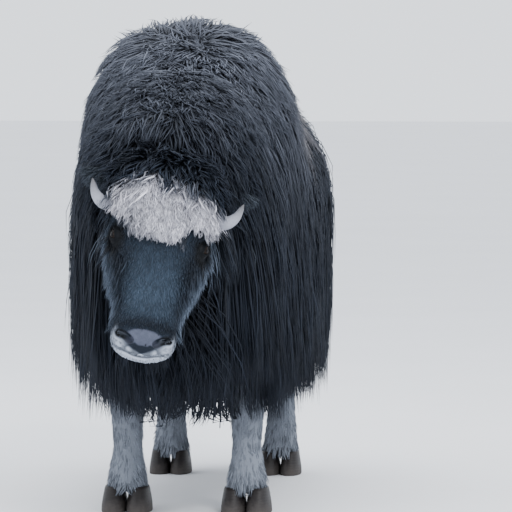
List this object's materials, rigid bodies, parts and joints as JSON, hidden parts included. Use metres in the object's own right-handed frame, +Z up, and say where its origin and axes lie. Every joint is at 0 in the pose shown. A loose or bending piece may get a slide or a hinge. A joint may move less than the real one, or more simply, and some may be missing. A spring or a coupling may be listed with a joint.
{
  "type": "young muskox",
  "caption": "Life-size still model of a young muskox standing on four legs, with short horns, a pale woolly brow and muzzle, and a long shaggy coat.",
  "frame": {"origin": "middle of the animal's bounding box on the floor, under the trunk", "axes": "+Z up, the animal faces -Y, +X towards its left side"},
  "size_m": [0.4937, 1.4584, 0.9909],
  "materials": {
    "coat": "long shaggy dark brown-black hair with paler frosting on the back",
    "face_fur": "short dark grey-brown fur, whitish wool on the brow and whitish lips",
    "stocking": "short pale greyish fur on the lower legs",
    "horn": "pale grey-cream horn, darker towards the tip",
    "hoof": "dark horn, dull",
    "eye": "dark brown wet eyeball"
  },
  "bodies": {
    "root": {"ear_left": "face_fur", "ear_right": "face_fur", "eye_left": "eye", "eye_right": "eye", "flank_left": "coat", "flank_right": "coat", "fore_hoof_left": "hoof", "fore_hoof_right": "hoof", "fore_leg_left": "stocking", "fore_leg_right": "stocking", "head": "face_fur", "hind_hoof_left": "hoof", "hind_hoof_right": "hoof", "hind_leg_left": "stocking", "hind_leg_right": "stocking", "hindquarter_left": "coat", "hindquarter_right": "coat", "horn_left": "horn", "horn_right": "horn", "neck": "coat", "shoulder_left": "coat", "shoulder_right": "coat", "tail": "coat"}
  },
  "joints": []
}
